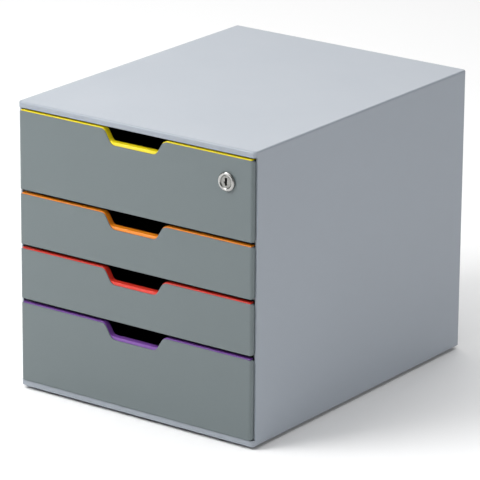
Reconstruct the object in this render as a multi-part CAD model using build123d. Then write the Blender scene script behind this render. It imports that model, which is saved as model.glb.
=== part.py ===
from build123d import *
import os

# Desktop file box for A4 and C4 papers: a light grey moulded housing with four drawers that slide
# out to the front, and a cam lock in the top drawer. Millimetres. +Z is up, the drawer fronts face
# -Y, and the origin is under the middle of the box on the surface that it stands on. While it is
# built, Y is counted from the housing's front edge; the last lines move every piece into place.

# ---- Driving dimensions ----
WIDTH = 280.0               # housing, side to side
HEIGHT = 292.0              # housing with its feet
BODY_DEPTH = 355.0          # housing, front edge to back
FRONT_PROUD = 1.0           # the drawer fronts stand this far before the housing's front edge
BEZEL_PROUD = 2.5           # the lock's bezel stands this far before the drawer front
FOOT_LIFT = 3.0             # gap that the feet leave under the housing

WALL = 1.8                  # side walls of the housing
SKIN = 2.4                  # top and base of the housing
BAND = 6.0                  # height of the top's front band
BASE_BAND = 6.3             # height of the base's front band
BAND_DEPTH = 3.2            # thickness of both bands
SIDE_SETBACK = 3.7          # the side walls' front edges lie this far behind the bands
FRONT_CORNER_R = 4.0        # upright front edges of top and base
REAR_CORNER_R = 3.0         # upright rear edges
TOP_EDGE_R = 2.0            # edges round the top face
BOTTOM_EDGE = 1.2           # bevel round the underside
REAR_FRAME = 5.8            # depth of the frame that the back panel lies against
REAR_BORDER = 8.0           # width of that frame
BACK_THICK = 2.2            # back panel

LEDGE = 2.4                 # runner ledges: thickness, and the reach from the liner inwards
LEDGE_REACH = 8.0
LINER = 1.6                 # runner frame's upright sheet
FRAME_FRONT = 8.0           # the runner frames start here, and end on the back panel
STOP_Y = (12.0, 17.0, 21.0)     # stop rib: start of its ramp, end of its ramp, rear face
STOP_DROP = 6.4             # how far a stop rib hangs below its ledge

TRAVEL = 250.0              # how far a drawer opens
GAP = 0.3                   # running clearance of what slides
TRAY_HALF = 135.2           # half the tray's width
TRAY_WALL = 1.8
TRAY_FRONT_WALL = 2.2
TRAY_BACK = 345.0           # the tray's rear face
TRAY_CORNER_R = 5.0
TRAY_RIM_DROP = 8.4         # the tray's low side rim, below the top of its bay

FRONT_HALF = 138.2          # half the width of a drawer front
FRONT_SKIN = 2.5
FRONT_RETURN = 2.0          # flange round the back of the front
FRONT_EDGE_R = 3.0          # its upright edges
FRONT_CORNER = 2.0          # its corners, seen from the front
FRONT_TOP_DROP = 2.9        # the front's top edge, below the top of its bay
FRONT_BOTTOM_RISE = 1.9     # the front's bottom edge, above the bottom of its bay
LOWEST_FRONT_RISE = 0.6     # the same for the lowest drawer, which meets the base

NOTCH_DEPTH = 14.4          # finger notch in the front's top edge
NOTCH_TOP_HALF = 35.0       # half its width where its flanks meet the top edge
NOTCH_FLOOR_HALF = 26.3     # half its width where they meet its floor
NOTCH_TOP_R = 7.0
NOTCH_FLOOR_R = 8.0

RIM_PROUD = (1.0, 0.25, 3.0)    # the coloured rim shows this far past the front: top, flanks, notch floor
RIM_FLOOR_R = 5.0           # its corners at the notch floor
RIM_TUCK = 5.5              # and reaches this far down behind the front
RIM_HALF = 135.6            # half its width
RIM_DEPTH = 3.9             # its thickness, from the housing's front plane back
RIM_LIP = 1.1               # thickness of its lip, which caps the tray's front wall

LOCK_X = 108.7              # lock axis
LOCK_Z = 258.8
BEZEL_R = 9.25
BEZEL_BEVEL = 0.9
MOUTH_BEVEL = 0.8           # funnel from the bezel's face to the plug
BARREL_R = 8.0
BARREL_BACK = 22.0
PLUG_R = 6.0
PLUG_PLAY = 0.05            # running clearance round the plug
PLUG_RECESS = 0.8           # the plug's face lies this far inside the bezel
CAM_Y = (23.6, 25.6)        # front and rear face of the cam
CAM_LENGTH = 27.4           # lock axis to the cam's tip

FOOT_SIDE = 14.0            # square rubber feet
FOOT_CORNER_R = 3.0
FOOT_X = 118.0
FOOT_Y = (28.0, 327.0)

# ---- Worked out from these ----
INNER_HALF = WIDTH / 2 - WALL
OPENING_TOP = HEIGHT - BAND
OPENING_BOTTOM = FOOT_LIFT + BASE_BAND
TOP_UNDER = HEIGHT - SKIN
BASE_UNDER = OPENING_BOTTOM - SKIN
REAR_FACE = BODY_DEPTH - REAR_FRAME
BACK_FRONT = REAR_FACE - BACK_THICK
LINER_INNER = INNER_HALF - LINER
LEDGE_TIP = LINER_INNER - LEDGE_REACH
FACE_Y = -FRONT_PROUD
BEZEL_FACE = FACE_Y - BEZEL_PROUD
TRAY_INNER = TRAY_HALF - TRAY_WALL
TRAY_FRONT = RIM_DEPTH
LIP_BACK = TRAY_FRONT + TRAY_FRONT_WALL     # rear edge of the coloured rim's lip
SHOULDER_Y = STOP_Y[2] + GAP + TRAVEL
CENTRE_SHIFT = -(BEZEL_FACE + BODY_DEPTH) / 2

# Five low bays fill the opening. The top and bottom drawers take one and a half of them each.
LOW_BAY = (OPENING_TOP - OPENING_BOTTOM) / 5
BAY_HEIGHTS = (1.5 * LOW_BAY, LOW_BAY, LOW_BAY, 1.5 * LOW_BAY)
BAYS = []                   # (bottom, top) of each drawer's bay, from the top drawer down
bay_top = OPENING_TOP
for bay_height in BAY_HEIGHTS:
    BAYS.append((bay_top - bay_height, bay_top))
    bay_top -= bay_height
BAY_LINES = [OPENING_BOTTOM] + [top for bottom, top in BAYS]


def block(x, y, z):
    """A box between the (low, high) pairs x, y and z."""
    centre = Pos((x[0] + x[1]) / 2, (y[0] + y[1]) / 2, (z[0] + z[1]) / 2)
    return centre * Box(x[1] - x[0], y[1] - y[0], z[1] - z[0])


def around(middle, half):
    """The (low, high) pair that reaches half to each side of middle."""
    return (middle - half, middle + half)


def slab(face, y):
    """A face drawn in the front view, made solid between y[0] and y[1]."""
    return extrude(Plane.XZ.offset(-y[1]) * face, y[1] - y[0])


def rod(radius, y, x=LOCK_X, z=LOCK_Z):
    """A cylinder along Y between y[0] and y[1]."""
    return slab(Pos(x, z) * Circle(radius), y)


def side_profile(points, x):
    """A closed outline of (y, z) points, made solid between x[0] and x[1]."""
    face = make_face(Polyline(*points, close=True))
    return extrude(Plane.YZ.offset(x[0]) * face, x[1] - x[0])


def notched_outline(half_width, bottom, edge, proud=(0.0, 0.0, 0.0), radii=(NOTCH_TOP_R, NOTCH_FLOOR_R)):
    """An outline in the front view with the finger notch in its top. It follows that of a drawer front
    whose top edge is at edge, and stands proud of it at its top edge, its flanks and its notch floor."""
    slope = (NOTCH_TOP_HALF - NOTCH_FLOOR_HALF) / NOTCH_DEPTH
    top = edge + proud[0]
    floor = edge - NOTCH_DEPTH + proud[2]
    top_half = NOTCH_TOP_HALF + proud[0] * slope - proud[1]
    floor_half = NOTCH_FLOOR_HALF + proud[2] * slope - proud[1]
    right = [(half_width, bottom), (half_width, top), (top_half, top), (floor_half, floor)]
    left = [(-x, z) for x, z in reversed(right)]
    face = make_face(Polyline(*right, *left, close=True))
    if radii:
        inner = face.vertices().filter_by(lambda v: abs(v.X) < half_width - 1)
        face = fillet(inner.filter_by(lambda v: abs(v.Y - floor) < 0.01), radii[1])
        inner = face.vertices().filter_by(lambda v: abs(v.X) < half_width - 1)
        face = fillet(inner.filter_by(lambda v: abs(v.Y - top) < 0.01), radii[0])
    return face


# ---- Housing ----
def housing_shell():
    """Top, sides and base in one moulding, open at the front, with a frame round the rear."""
    plan = Pos(0, BODY_DEPTH / 2) * Rectangle(WIDTH, BODY_DEPTH)
    plan = fillet(plan.vertices().group_by(Axis.Y)[0], FRONT_CORNER_R)
    plan = fillet(plan.vertices().filter_by(lambda v: v.Y > BODY_DEPTH - 0.01), REAR_CORNER_R)
    shell = extrude(Pos(0, 0, FOOT_LIFT) * plan, HEIGHT - FOOT_LIFT)
    shell = fillet(shell.faces().sort_by(Axis.Z)[-1].edges(), TOP_EDGE_R)
    shell = chamfer(shell.faces().sort_by(Axis.Z)[0].edges(), BOTTOM_EDGE)
    shell -= block((-WIDTH, WIDTH), (-1, SIDE_SETBACK), (OPENING_BOTTOM, OPENING_TOP))
    shell -= block((-INNER_HALF, INNER_HALF), (BAND_DEPTH, REAR_FACE), (OPENING_BOTTOM, TOP_UNDER))
    rear_window = Pos(0, (OPENING_BOTTOM + TOP_UNDER) / 2) * RectangleRounded(
        2 * (INNER_HALF - REAR_BORDER), TOP_UNDER - OPENING_BOTTOM - 2 * REAR_BORDER, REAR_BORDER)
    shell -= slab(rear_window, (REAR_FACE - 1, BODY_DEPTH + 1))
    return shell - underside_pocket() + underside_ribs() + strike_lugs()


POCKET_HALF = WIDTH / 2 - 3.0
POCKET_Y = (BAND_DEPTH, BODY_DEPTH - 3.0)
RIB = 1.8
RIB_X = (-62.0, 62.0)
RIB_Y = (92.0, 177.5, 263.0)
RIB_BOTTOM = FOOT_LIFT + 1.2
FOOT_SEAT_HALF = 10.0
FOOT_SEAT_BOTTOM = FOOT_LIFT + 0.2
FOOT_TOP = FOOT_LIFT + 1.4
FOOT_PLAY = 0.2


def underside_pocket():
    return block((-POCKET_HALF, POCKET_HALF), POCKET_Y, (FOOT_LIFT - 1, BASE_UNDER))


def underside_ribs():
    """Stiffening ribs and the seats of the four feet, below the base's skin."""
    z = (RIB_BOTTOM, BASE_UNDER)
    parts = [block(around(x, RIB / 2), POCKET_Y, z) for x in RIB_X]
    parts += [block((-POCKET_HALF, POCKET_HALF), around(y, RIB / 2), z) for y in RIB_Y]
    seat_z = (FOOT_SEAT_BOTTOM, BASE_UNDER)
    parts += [block(around(x, FOOT_SEAT_HALF), around(y, FOOT_SEAT_HALF), seat_z) for x, y in foot_places()]
    ribs = parts[0] + parts[1:]
    for x, y in foot_places():
        ribs -= foot_pad(x, y, FOOT_PLAY, FOOT_LIFT - 1)
    return ribs


STRIKE_HALF = 10.0          # half the width of the lock strike
STRIKE_Y = (6.6, 20.6, 22.6)    # front end of its foot, front and rear face of its leg
STRIKE_BOTTOM = 282.6
STRIKE_THICK = 1.5
LUG_X = (LOCK_X - 5.5, LOCK_X + 5.5)    # middle of each lug that holds the strike
LUG_HALF = 2.0
LUG_Y = (10.6, 15.0)
LUG_HEAD = 1.2              # thickness of a lug's melted head, and how far it laps the strike


def strike_lugs():
    """Two lugs under the top, melted over to hold the lock strike."""
    lugs = []
    head_top = TOP_UNDER - STRIKE_THICK
    for x in LUG_X:
        lugs.append(block(around(x, LUG_HALF), LUG_Y, (head_top, TOP_UNDER)))
        lugs.append(block(around(x, LUG_HALF + LUG_HEAD), (LUG_Y[0] - LUG_HEAD, LUG_Y[1] + LUG_HEAD),
                          (head_top - LUG_HEAD, head_top)))
    return lugs[0] + lugs[1:]


def foot_places():
    return [(x, y) for y in FOOT_Y for x in (-FOOT_X, FOOT_X)]


def foot_pad(x, y, play=0.0, low=0.0):
    """A square rubber foot with round corners, seated in the underside. With play it is the recess."""
    outline = Pos(x, y, low) * RectangleRounded(FOOT_SIDE + 2 * play, FOOT_SIDE + 2 * play, FOOT_CORNER_R)
    return extrude(outline, FOOT_TOP - low)


PANEL_PLAY = 0.2
FIELD_INSET = 30.0          # the back panel's raised field, inside the frame's window
FIELD_RISE = 1.4


def back_panel():
    """Closes the rear from inside. Its middle is pressed out towards the rear."""
    x = INNER_HALF - PANEL_PLAY
    z = (OPENING_BOTTOM + PANEL_PLAY, TOP_UNDER - PANEL_PLAY)
    middle = sum(z) / 2
    field = Rectangle(2 * (x - FIELD_INSET), z[1] - z[0] - 2 * FIELD_INSET)
    panel = block((-x, x), (BACK_FRONT, REAR_FACE), z)
    outer_field = Pos(0, middle) * fillet(field.vertices(), 10.0)
    inner_field = Pos(0, middle) * offset(fillet(field.vertices(), 10.0), -BACK_THICK)
    panel += slab(outer_field, (REAR_FACE - 0.5, REAR_FACE + FIELD_RISE))
    return panel - slab(inner_field, (BACK_FRONT - 1, BACK_FRONT + FIELD_RISE))


def runner_frame(side):
    """The liner of one side wall, with a ledge and a stop rib for every drawer."""
    frame = block((LINER_INNER, INNER_HALF), (FRAME_FRONT, BACK_FRONT), (OPENING_BOTTOM, TOP_UNDER))
    reach = (LEDGE_TIP, LINER_INNER + 0.5)
    for line in BAY_LINES:
        low = max(line - LEDGE / 2, OPENING_BOTTOM)
        high = line + LEDGE / 2
        lead = FRAME_FRONT + 4.0
        ledge_plan = make_face(Polyline((reach[1], FRAME_FRONT), (LEDGE_TIP + 3.0, FRAME_FRONT),
                                        (LEDGE_TIP, lead), (LEDGE_TIP, BACK_FRONT), (reach[1], BACK_FRONT),
                                        close=True))
        frame += extrude(Pos(0, 0, low) * ledge_plan, high - low)
    for bottom, top in BAYS:
        root = top - LEDGE / 2 + 0.5
        tip = top - LEDGE / 2 - STOP_DROP
        stop = [(STOP_Y[0], root), (STOP_Y[1], tip), (STOP_Y[2], tip), (STOP_Y[2], root)]
        frame += side_profile(stop, reach)
    return frame if side > 0 else mirror(frame, Plane.YZ)


# ---- Drawers ----
HOOK_X = (-112.0, -48.0, 48.0, 112.0)   # snap hooks that hold a front on its tray
HOOK_HALF = 4.7
HOOK_THICK = 1.6
HOOK_RISE = 17.0            # hooks above the bottom of the bay
HOOK_BARB = 1.0
HOOK_SLOT_PLAY = 0.3
SKID = (129.6, 134.6)       # skids under the tray
TRAY_FLOOR = 1.8
REAR_DIP_HALF = 112.0       # the middle of the tray's rear wall is as low as the side rims
FLOOR_BEVEL = 2.0           # between the tray's floor and its walls, inside
INNER_CORNER_R = 3.2        # the tray's upright inner corners at the front


def tray_plan(half_width, y, front_r, rear_r):
    plan = Pos(0, (y[0] + y[1]) / 2) * Rectangle(2 * half_width, y[1] - y[0])
    if front_r:
        plan = fillet(plan.vertices().group_by(Axis.Y)[0], front_r)
    return fillet(plan.vertices().filter_by(lambda v: v.Y > y[1] - 0.01), rear_r)


def tray(number):
    """Open box that holds the papers. Its sides run on the ledges; the raised rear third of each
    side keeps the open drawer level and meets the stop rib."""
    bottom, top = BAYS[number]
    floor = bottom + FRONT_BOTTOM_RISE
    wall_top = top - LEDGE / 2 - GAP
    outside = tray_plan(TRAY_HALF, (TRAY_FRONT, TRAY_BACK), 0, TRAY_CORNER_R)
    body = extrude(Pos(0, 0, floor) * outside, wall_top - floor)
    inside = tray_plan(TRAY_INNER, (LIP_BACK, TRAY_BACK - TRAY_WALL), INNER_CORNER_R, TRAY_CORNER_R - TRAY_WALL)
    hollow = extrude(Pos(0, 0, floor + TRAY_FLOOR) * inside, wall_top - floor)
    hollow = chamfer(hollow.faces().sort_by(Axis.Z)[0].edges(), FLOOR_BEVEL)
    body -= hollow

    rim = top - TRAY_RIM_DROP
    lip_seat = top - FRONT_TOP_DROP + RIM_PROUD[0] - RIM_LIP
    ramp = [(LIP_BACK, wall_top + 1), (LIP_BACK, lip_seat), (STOP_Y[0] - 1.0, rim), (SHOULDER_Y, rim),
            (SHOULDER_Y, wall_top + 1)]
    body -= side_profile(ramp, (-WIDTH, WIDTH))
    body -= block((-REAR_DIP_HALF, REAR_DIP_HALF), (TRAY_BACK - 10, TRAY_BACK + 1), (rim, wall_top + 1))

    front_face = rim_outline(TRAY_HALF + 1, floor - 1, top - FRONT_TOP_DROP, RIM_LIP)
    front_wall = block((-WIDTH, WIDTH), (TRAY_FRONT - 1, LIP_BACK + 0.01), (floor - 1, wall_top + 20))
    body -= front_wall - slab(front_face, (TRAY_FRONT - 2, LIP_BACK + 1))

    skid_y = (FRAME_FRONT + 2, TRAY_BACK - TRAY_CORNER_R)
    skid_z = (bottom + LEDGE / 2 + GAP, floor + 0.5)
    for side in (-1, 1):
        body += block(sorted((side * SKID[0], side * SKID[1])), skid_y, skid_z)
    for x in HOOK_X:
        body -= hook_slot(x, bottom + HOOK_RISE)
    if number == 0:
        body -= rod(BARREL_R + 0.1, (TRAY_FRONT - 1, LIP_BACK + 1))
    return body


def hook_slot(x, z):
    play = HOOK_SLOT_PLAY
    return block(around(x, HOOK_HALF + play), (TRAY_FRONT - 1, LIP_BACK + 0.5),
                 (z - play, z + HOOK_THICK + HOOK_BARB + play))


def hook(x, z):
    """A snap hook: an arm through the tray's front wall, with a barb behind it."""
    root = FACE_Y + FRONT_SKIN - 0.5
    back = LIP_BACK + 0.1
    arm = [(root, z), (back + 2.4, z), (back + 2.4, z + 0.8), (back, z + HOOK_THICK + HOOK_BARB),
           (back, z + HOOK_THICK), (root, z + HOOK_THICK)]
    return side_profile(arm, around(x, HOOK_HALF))


def rim_outline(half_width, bottom, edge, inset=0.0):
    """The outline of the coloured rim's upper edge, or one that lies inset from it."""
    proud = [p - inset for p in RIM_PROUD]
    return notched_outline(half_width, bottom, edge, proud, (NOTCH_TOP_R, RIM_FLOOR_R))


def rim_face(edge):
    """The coloured rim in the front view: a band that follows the front's top edge and notch. Its lower
    edge, behind the front, has plain corners."""
    low = edge - 2 * (NOTCH_DEPTH + RIM_TUCK)
    below = notched_outline(RIM_HALF + 1, low - 10, edge - RIM_TUCK, radii=None)
    return rim_outline(RIM_HALF, low, edge) - below


def rim_strip(number):
    """Coloured strip clamped between front and tray. It shows past the front's edge, and a lip laps
    back over the tray's front wall."""
    edge = BAYS[number][1] - FRONT_TOP_DROP
    low = edge - 2 * NOTCH_DEPTH
    lip_face = rim_outline(RIM_HALF, low, edge) - rim_outline(RIM_HALF + 1, low - 10, edge, RIM_LIP)
    return slab(rim_face(edge), (0, RIM_DEPTH)) + slab(lip_face, (RIM_DEPTH - 0.5, LIP_BACK))


def drawer_front(number):
    """Dark moulded front: a rounded skin with a flange round its back and hooks for the tray."""
    bottom, top = BAYS[number]
    rise = LOWEST_FRONT_RISE if number == len(BAYS) - 1 else FRONT_BOTTOM_RISE
    low = bottom + rise
    edge = top - FRONT_TOP_DROP
    flange_back = SIDE_SETBACK - GAP
    outline = notched_outline(FRONT_HALF, low, edge)
    outline = fillet(outline.vertices().filter_by(lambda v: abs(v.X) > FRONT_HALF - 0.01), FRONT_CORNER)
    plan = Pos(0, (FACE_Y + flange_back) / 2) * Rectangle(2 * FRONT_HALF, flange_back - FACE_Y)
    plan = fillet(plan.vertices().group_by(Axis.Y)[0], FRONT_EDGE_R)
    front = slab(outline, (FACE_Y, flange_back)) & extrude(Pos(0, 0, low - 1) * plan, edge - low + 2)

    pocket_half = FRONT_HALF - FRONT_RETURN
    pocket_face = notched_outline(pocket_half, low + FRONT_RETURN, edge - FRONT_RETURN)
    front -= slab(pocket_face, (FACE_Y + FRONT_SKIN, flange_back + 1))
    front -= slab(rim_face(edge), (0, flange_back + 1))
    front -= block((-RIM_HALF, RIM_HALF), (0, flange_back + 1), (edge - 0.5, edge + 1))
    for x in HOOK_X:
        front += hook(x, bottom + HOOK_RISE)
    if number == 0:
        front -= rod(BARREL_R + 0.1, (FACE_Y - 1, flange_back + 1))
    return front


# ---- Lock ----
def lock_body():
    """Bezel and barrel, pushed through the front and the tray from outside."""
    bezel = rod(BEZEL_R, (BEZEL_FACE, FACE_Y))
    bezel = chamfer(bezel.edges().filter_by(GeomType.CIRCLE).sort_by(Axis.Y)[0], BEZEL_BEVEL)
    body = bezel + rod(BARREL_R, (FACE_Y - 0.5, BARREL_BACK))
    body -= rod(PLUG_R + PLUG_PLAY, (BEZEL_FACE - 1, BARREL_BACK + 1))
    mouth = body.edges().filter_by(GeomType.CIRCLE).filter_by(
        lambda e: abs(e.radius - PLUG_R - PLUG_PLAY) < 0.01).sort_by(Axis.Y)[0]
    return chamfer(mouth, MOUTH_BEVEL)


KEYHOLE = (2.4, 7.8)        # width and height of the key slot
KEYHOLE_DEPTH = 13.0
DRIVE = 7.6                 # square end that turns the cam
SCREW_R = 2.0


def lock_plug():
    """The part that the key turns: keyhole in front, square drive and screw hole behind."""
    face = BEZEL_FACE + PLUG_RECESS
    plug = rod(PLUG_R, (face, BARREL_BACK + 1.4))
    plug = chamfer(plug.edges().filter_by(GeomType.CIRCLE).sort_by(Axis.Y)[0], 0.4)
    drive_face = Pos(LOCK_X, LOCK_Z) * Rectangle(DRIVE, DRIVE)
    plug += slab(drive_face, (BARREL_BACK, CAM_Y[1] - 0.2))
    slot = Pos(LOCK_X, LOCK_Z) * Rectangle(KEYHOLE[0], KEYHOLE[1])
    nub = Pos(LOCK_X - KEYHOLE[0] / 2 - 0.5, LOCK_Z - 0.6) * Rectangle(1.6, 1.4)
    plug -= slab(slot + nub, (face - 1, face + KEYHOLE_DEPTH))
    return plug - rod(SCREW_R, (CAM_Y[1] - 10, CAM_Y[1] + 1))


def lock_nut():
    """Hexagon nut that clamps the lock to the tray's front wall."""
    y = (LIP_BACK, LIP_BACK + 4.0)
    nut = slab(Pos(LOCK_X, LOCK_Z) * RegularPolygon(11.5, 6), y)
    return nut - rod(BARREL_R + 0.02, (y[0] - 1, y[1] + 1))


def lock_cam():
    """Flat arm on the plug. It points to the side when unlocked and up when locked."""
    hub = Circle(8.0)
    arm = Pos(-CAM_LENGTH / 2, 0) * Rectangle(CAM_LENGTH, 12.0)
    arm = fillet(arm.vertices().filter_by(lambda v: v.X < -1), 3.0)
    plate = Pos(LOCK_X, LOCK_Z) * (hub + arm - Rectangle(DRIVE + 0.1, DRIVE + 0.1))
    return slab(plate, CAM_Y)


def cam_screw():
    """Pan head screw that holds the cam on the plug."""
    head = rod(5.6, (CAM_Y[1], CAM_Y[1] + 2.6))
    head -= slab(Pos(LOCK_X, LOCK_Z) * Rectangle(1.2, 6.0), (CAM_Y[1] + 1.6, CAM_Y[1] + 3))
    head -= slab(Pos(LOCK_X, LOCK_Z) * Rectangle(6.0, 1.2), (CAM_Y[1] + 1.6, CAM_Y[1] + 3))
    return head + rod(SCREW_R - 0.02, (CAM_Y[1] - 9, CAM_Y[1] + 0.5))


def lock_strike():
    """Steel angle under the top. The turned-up cam stands behind its leg."""
    x = around(LOCK_X, STRIKE_HALF)
    strike = block(x, (STRIKE_Y[0], STRIKE_Y[2]), (TOP_UNDER - STRIKE_THICK, TOP_UNDER))
    strike += block(x, (STRIKE_Y[1], STRIKE_Y[2]), (STRIKE_BOTTOM, TOP_UNDER))
    for lug_x in LUG_X:
        strike -= block(around(lug_x, LUG_HALF), LUG_Y, (STRIKE_BOTTOM, HEIGHT))
    return strike


# ---- All pieces ----
pieces = {
    "housing_shell": housing_shell(),
    "back_panel": back_panel(),
    "runner_frame_left": runner_frame(-1),
    "runner_frame_right": runner_frame(1),
    "lock_strike": lock_strike(),
    "lock_body": lock_body(),
    "lock_nut": lock_nut(),
    "lock_plug": lock_plug(),
    "lock_cam": lock_cam(),
    "cam_screw": cam_screw(),
}
for name, (x, y) in zip(("front_left", "front_right", "rear_left", "rear_right"), foot_places()):
    pieces["foot_" + name] = foot_pad(x, y)
for number in range(len(BAYS)):
    pieces[f"tray_{number + 1}"] = tray(number)
    pieces[f"rim_strip_{number + 1}"] = rim_strip(number)
    pieces[f"drawer_front_{number + 1}"] = drawer_front(number)

os.makedirs("parts", exist_ok=True)
for name, piece in pieces.items():
    placed = Pos(0, CENTRE_SHIFT, 0) * piece
    placed.label = name
    export_step(placed, f"parts/{name}.step")
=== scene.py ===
import math

import bpy
from mathutils import Matrix, Vector

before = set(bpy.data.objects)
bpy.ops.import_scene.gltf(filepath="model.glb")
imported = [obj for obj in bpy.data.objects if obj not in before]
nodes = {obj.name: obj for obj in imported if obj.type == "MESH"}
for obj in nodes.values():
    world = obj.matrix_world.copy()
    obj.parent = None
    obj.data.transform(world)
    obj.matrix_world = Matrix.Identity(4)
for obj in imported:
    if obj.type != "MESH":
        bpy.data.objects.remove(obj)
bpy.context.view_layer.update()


# ---- Housing shell ----
# Top, two sides and base in one injection moulding of light grey polystyrene. Its mould is spark
# eroded, which gives the faces a fine even grain and a soft satin sheen.
def linear(colour):
    """An sRGB hex colour as linear RGBA."""
    channels = [int(colour[i:i + 2], 16) / 255 for i in (1, 3, 5)]
    return [c / 12.92 if c <= 0.04045 else ((c + 0.055) / 1.055) ** 2.4 for c in channels] + [1.0]


def add(material, kind, links=None, **settings):
    """Adds one shader node. links maps an input socket to a value or to another node's output."""
    tree = material.node_tree
    node = tree.nodes.new("ShaderNode" + kind)
    for name, value in settings.items():
        setattr(node, name, value)
    for socket, value in (links or {}).items():
        if isinstance(value, bpy.types.NodeSocket):
            tree.links.new(value, node.inputs[socket])
        else:
            node.inputs[socket].default_value = value
    return node


def new_material(name):
    material = bpy.data.materials.new(name)
    material.use_nodes = True
    material.node_tree.nodes.clear()
    return material


PER_MM = 1000.0     # the frame is in metres, so a pattern one millimetre wide has this scale
MIX_A, MIX_B, MIX_RESULT = 6, 7, 2      # a Mix node's colour sockets
NOISE_LOW, NOISE_HIGH = 0.3, 0.7        # most of a noise pattern's values lie between these
EDGE_SAMPLES = 6
FLOW_CLOUD_MM = 90.0        # width of the faint clouds that the plastic's flow leaves
FLOW_CLOUD_TONE = 0.025     # how far they shift the colour
FLOW_CLOUD_SHEEN = 0.03     # and the roughness


def moulded_plastic(name, colour, roughness, grain_mm, grain_depth_mm, edge_mm, ior=1.5):
    """Plastic from a spark-eroded mould: an even colour with faint flow clouds, a fine grain, a broken
    sheen and slightly rounded edges. The real grain is about 0.1 mm wide and is drawn coarser."""
    material = new_material(name)
    place = add(material, "TexCoord").outputs["Object"]
    clouds = add(material, "TexNoise", {"Vector": place, "Scale": PER_MM / FLOW_CLOUD_MM, "Detail": 3.0,
                                        "Roughness": 0.6})
    base = linear(colour)
    darker = [c * (1 - FLOW_CLOUD_TONE) for c in base[:3]] + [1.0]
    lighter = [min(1.0, c * (1 + FLOW_CLOUD_TONE)) for c in base[:3]] + [1.0]
    tone = add(material, "Mix", {"Factor": clouds.outputs["Fac"], MIX_A: darker, MIX_B: lighter},
               data_type="RGBA")
    grain = add(material, "TexNoise", {"Vector": place, "Scale": PER_MM / grain_mm, "Detail": 2.0})
    sheen = add(material, "MapRange", {"Value": clouds.outputs["Fac"], "From Min": NOISE_LOW,
                                       "From Max": NOISE_HIGH, "To Min": roughness - FLOW_CLOUD_SHEEN,
                                       "To Max": roughness + FLOW_CLOUD_SHEEN})
    edge = add(material, "Bevel", {"Radius": edge_mm / PER_MM}, samples=EDGE_SAMPLES)
    bump = add(material, "Bump", {"Height": grain.outputs["Fac"], "Strength": 1.0,
                                  "Distance": grain_depth_mm / PER_MM, "Normal": edge.outputs["Normal"]})
    surface = add(material, "BsdfPrincipled", {"Base Color": tone.outputs[MIX_RESULT],
                                               "Roughness": sheen.outputs["Result"],
                                               "IOR": ior, "Normal": bump.outputs["Normal"]})
    add(material, "OutputMaterial", {"Surface": surface.outputs["BSDF"]})
    return material


def finish_node(name, material):
    """Gives a CAD node its finish."""
    node = nodes[name]
    node.data.materials.clear()
    node.data.materials.append(material)
    return node


HOUSING_GREY = "#969DA6"
housing_polystyrene = moulded_plastic("polystyrene_moulded_light_grey", HOUSING_GREY, roughness=0.36,
                                      grain_mm=0.55, grain_depth_mm=0.012, edge_mm=0.35)
finish_node("housing_shell", housing_polystyrene)

# ---- Back panel ----
# A separate flat moulding of the same grey polystyrene, set against the frame at the rear from
# inside, with its middle pressed out.
finish_node("back_panel", housing_polystyrene)

# ---- Runner frames ----
# Left and right liner in grey polypropylene, with a ledge for every drawer. A smoother mould and a
# softer plastic make them waxier to the eye than the shell.
RUNNER_GREY = "#A9AFB3"
runner_polypropylene = moulded_plastic("polypropylene_moulded_grey", RUNNER_GREY, roughness=0.42,
                                       grain_mm=0.8, grain_depth_mm=0.006, edge_mm=0.3)
for side in ("left", "right"):
    finish_node("runner_frame_" + side, runner_polypropylene)

# ---- Feet ----
# Four square pads of moulded black rubber, glued in seats in the underside. Their skin is dull and
# a little rough, with soft edges.
FOOT_BLACK = "#2A2B2C"
foot_rubber = moulded_plastic("rubber_moulded_black", FOOT_BLACK, roughness=0.75,
                              grain_mm=0.5, grain_depth_mm=0.03, edge_mm=0.6, ior=1.52)
for place in ("front_left", "front_right", "rear_left", "rear_right"):
    finish_node("foot_" + place, foot_rubber)

# ---- Drawer trays ----
# Four open boxes in dark slate polystyrene, which carry the fronts. They are plainly moulded, so
# they look darker and flatter than the fronts.
TRAY_SLATE = "#3F4648"
tray_polystyrene = moulded_plastic("polystyrene_moulded_dark_slate", TRAY_SLATE, roughness=0.42,
                                   grain_mm=0.7, grain_depth_mm=0.01, edge_mm=0.4)
for number in range(1, 5):
    finish_node(f"tray_{number}", tray_polystyrene)

# ---- Drawer fronts ----
# Four slate grey ABS mouldings, clipped on the trays. The mould's fine grain leaves a satin face
# that shows no sharp reflection.
FRONT_SLATE = "#677173"
front_abs = moulded_plastic("abs_moulded_slate_grey", FRONT_SLATE, roughness=0.36,
                            grain_mm=0.5, grain_depth_mm=0.012, edge_mm=0.5)
for number in range(1, 5):
    finish_node(f"drawer_front_{number}", front_abs)

# ---- Rim strips ----
# One strip of coloured ABS for each drawer, clamped between front and tray. It comes from a
# polished mould, so its edge is glossy and its colour strong.
RIM_COLOURS = (("yellow", "#F2DC1A"), ("orange", "#F08A1E"), ("red", "#E03A2C"), ("purple", "#7A4AA0"))
for number, (colour_name, colour) in enumerate(RIM_COLOURS, 1):
    rim_abs = moulded_plastic("abs_moulded_" + colour_name, colour, roughness=0.22,
                              grain_mm=0.9, grain_depth_mm=0.003, edge_mm=0.35)
    finish_node(f"rim_strip_{number}", rim_abs)


# ---- Lock ----
# Cam lock behind the top front: bezel and barrel are die-cast zinc, polished and nickel plated, the
# plug is turned brass with the same plating, and nut, cam, screw and strike are zinc-plated steel.
# The polished nickel mirrors the room, the turned plug less, and the zinc looks dull and bluish.
MACHINING_DEPTH_MM = 0.003
MACHINING_SHEEN = 0.2       # how far the machining marks shift the roughness, as a share of it


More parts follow.
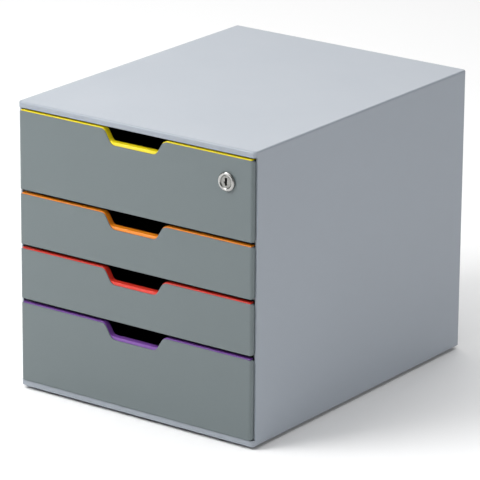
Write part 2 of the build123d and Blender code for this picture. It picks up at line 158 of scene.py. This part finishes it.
def plated_metal(name, colour, roughness, lines_mm, edge_mm):
    """Plated metal with fine machining marks in its sheen."""
    material = new_material(name)
    place = add(material, "TexCoord").outputs["Object"]
    streaks = add(material, "TexNoise", {"Vector": place, "Scale": PER_MM / lines_mm, "Detail": 4.0})
    sheen = add(material, "MapRange", {"Value": streaks.outputs["Fac"], "From Min": NOISE_LOW,
                                       "From Max": NOISE_HIGH, "To Min": roughness * (1 - MACHINING_SHEEN),
                                       "To Max": roughness * (1 + MACHINING_SHEEN)})
    edge = add(material, "Bevel", {"Radius": edge_mm / PER_MM}, samples=EDGE_SAMPLES)
    bump = add(material, "Bump", {"Height": streaks.outputs["Fac"], "Strength": 1.0,
                                  "Distance": MACHINING_DEPTH_MM / PER_MM, "Normal": edge.outputs["Normal"]})
    surface = add(material, "BsdfPrincipled", {"Base Color": linear(colour), "Metallic": 1.0,
                                               "Roughness": sheen.outputs["Result"],
                                               "Normal": bump.outputs["Normal"]})
    add(material, "OutputMaterial", {"Surface": surface.outputs["BSDF"]})
    return material


# Both nickel colours hold painted shade: they are set darker than plated nickel to stand in for the dim room the
# lock mirrors, and the plug's colour is darker still.
polished_nickel_painted_shade = plated_metal("nickel_plated_zinc_polished", "#A8A8A6", roughness=0.2, lines_mm=1.5, edge_mm=0.3)
turned_nickel_painted_shade = plated_metal("nickel_plated_brass_turned", "#8F8F8C", roughness=0.3, lines_mm=0.6, edge_mm=0.15)
zinc_steel = plated_metal("steel_zinc_plated", "#BFC2C6", roughness=0.34, lines_mm=0.9, edge_mm=0.2)
finish_node("lock_body", polished_nickel_painted_shade)
finish_node("lock_plug", turned_nickel_painted_shade)
for name in ("lock_nut", "lock_cam", "cam_screw", "lock_strike"):
    finish_node(name, zinc_steel)

# ---- Studio ----
# White paper under a large soft ceiling, two soft lights from the front left, a card on the right,
# and a tall white card behind, whose lower edge shows as a soft line across the housing's top.
FLOOR_SIDE = 30.0           # metres
ROOM_LIGHT = 0.184          # even light from all round
paper = new_material("studio_paper_white")
paper_surface = add(paper, "BsdfPrincipled", {"Base Color": linear("#FAFAFA"), "Roughness": 0.9,
                                              "Specular IOR Level": 0.2})
add(paper, "OutputMaterial", {"Surface": paper_surface.outputs["BSDF"]})
bpy.ops.mesh.primitive_plane_add(size=FLOOR_SIDE, location=(0, 0, 0))
floor = bpy.context.object
floor.name = "studio_floor"
floor.data.materials.append(paper)

world = bpy.data.worlds.new("studio_room")
bpy.context.scene.world = world
world.use_nodes = True
background = world.node_tree.nodes["Background"]
background.inputs["Color"].default_value = (1.0, 1.0, 1.0, 1.0)
background.inputs["Strength"].default_value = ROOM_LIGHT


def soft_light(name, place, target, width, height, power):
    """A rectangular soft light at place that faces target, in metres and watts."""
    data = bpy.data.lights.new(name, "AREA")
    data.shape = "RECTANGLE"
    data.size = width
    data.size_y = height
    data.energy = power
    light = bpy.data.objects.new(name, data)
    bpy.context.scene.collection.objects.link(light)
    light.location = place
    light.rotation_euler = (Vector(target) - Vector(place)).to_track_quat("-Z", "Y").to_euler()
    return light


soft_light("key_light", place=(-0.9, -1.6, 1.6), target=(0, 0, 0.15), width=1.2, height=1.2, power=13.8)
soft_light("near_light", place=(-0.8, -1.1, 1.3), target=(0, -0.1, 0.2), width=0.9, height=0.9, power=16.5)
soft_light("ceiling", place=(-0.6, -0.3, 3.5), target=(-0.6, -0.3, 0), width=4.0, height=4.0, power=86)
soft_light("side_card", place=(4.0, 0.3, 1.1), target=(0, 0, 0.05), width=3.0, height=2.0, power=46)
soft_light("rear_card", place=(-1.7, 2.5, 1.934), target=(-1.7, 0, 1.934), width=3.0, height=1.6, power=37)

bpy.context.scene.view_settings.view_transform = "Standard"
bpy.context.scene.view_settings.look = "None"

# ---- Camera ----
# A long lens to the right of the fronts and above them, fitted to the photograph's edges.
CAMERA_PLACE = (1.9817, -2.7393, 1.2520)
CAMERA_YAW = 35.941         # degrees
CAMERA_PITCH = 18.299
CAMERA_ROLL = 0.455
LENS = 271.8                # millimetres, as is the sensor's width
SENSOR_WIDTH = 36.0
VIEW_DEPTH = 60.0           # metres
camera_data = bpy.data.cameras.new("camera")
camera_data.sensor_width = SENSOR_WIDTH
camera_data.lens = LENS
camera_data.clip_end = VIEW_DEPTH
camera = bpy.data.objects.new("camera", camera_data)
bpy.context.scene.collection.objects.link(camera)
camera.matrix_world = (Matrix.Translation(CAMERA_PLACE) @ Matrix.Rotation(math.radians(CAMERA_YAW), 4, "Z")
                       @ Matrix.Rotation(math.radians(90 - CAMERA_PITCH), 4, "X")
                       @ Matrix.Rotation(math.radians(CAMERA_ROLL), 4, "Z"))
bpy.context.scene.camera = camera
